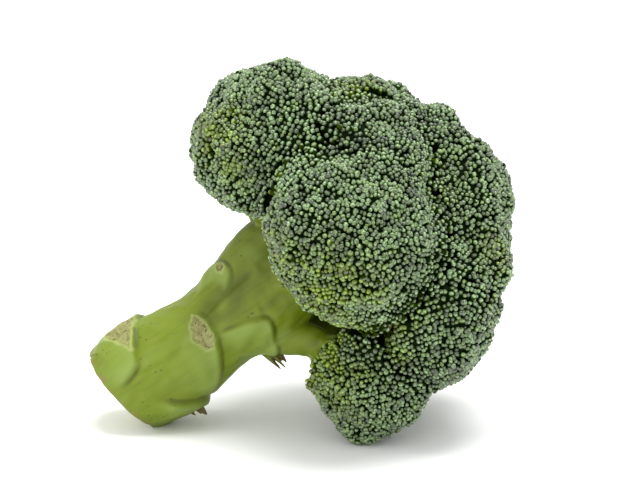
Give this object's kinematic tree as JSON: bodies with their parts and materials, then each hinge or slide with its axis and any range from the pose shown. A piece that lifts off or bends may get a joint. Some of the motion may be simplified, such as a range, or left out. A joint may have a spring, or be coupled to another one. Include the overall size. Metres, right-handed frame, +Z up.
{
  "type": "broccoli head",
  "caption": "Head of broccoli lying on its side, with a thick cut stalk, branches and a crown of tightly budded green florets.",
  "frame": {"origin": "middle of the object's outline seen from above, on the surface it rests on", "axes": "+Z up; +X from the cut end of the stalk towards the crown, as it lies; +Y towards the side with the florets named back"},
  "size_m": [0.1758, 0.1528, 0.1552],
  "materials": {
    "stalk_skin": "smooth waxy yellow-green skin, satin",
    "branch_skin": "smooth waxy green skin, satin",
    "flower_buds": "tight grey-green flower buds with a matt wax bloom",
    "dry_leaf": "torn green leaf base with dry brown edges, matt",
    "bract_leaf": "thin pale yellow-green leaf, satin"
  },
  "bodies": {
    "root": {"main_stalk": "stalk_skin", "stem_upper_left": "branch_skin", "floret_upper_left": "flower_buds", "stem_front": "branch_skin", "floret_front": "flower_buds", "stem_top": "branch_skin", "floret_top": "flower_buds", "stem_top_right": "branch_skin", "floret_top_right": "flower_buds", "stem_crown": "branch_skin", "floret_crown": "flower_buds", "stem_right": "branch_skin", "floret_right": "flower_buds", "stem_lower_right": "branch_skin", "floret_lower_right": "flower_buds", "stem_lower": "branch_skin", "floret_lower": "flower_buds", "stem_middle": "branch_skin", "floret_middle": "flower_buds", "stem_inner": "branch_skin", "floret_inner": "flower_buds", "stem_back": "branch_skin", "floret_back": "flower_buds", "stem_back_right": "branch_skin", "floret_back_right": "flower_buds", "stem_back_left": "branch_skin", "floret_back_left": "flower_buds", "stem_back_lower": "branch_skin", "floret_back_lower": "flower_buds", "stem_back_top": "branch_skin", "floret_back_top": "flower_buds", "leaf_stub_low": "dry_leaf", "leaf_stub_branch": "dry_leaf", "leaf_stub_back": "dry_leaf", "bract_front": "bract_leaf", "bract_back": "bract_leaf"}
  },
  "joints": []
}
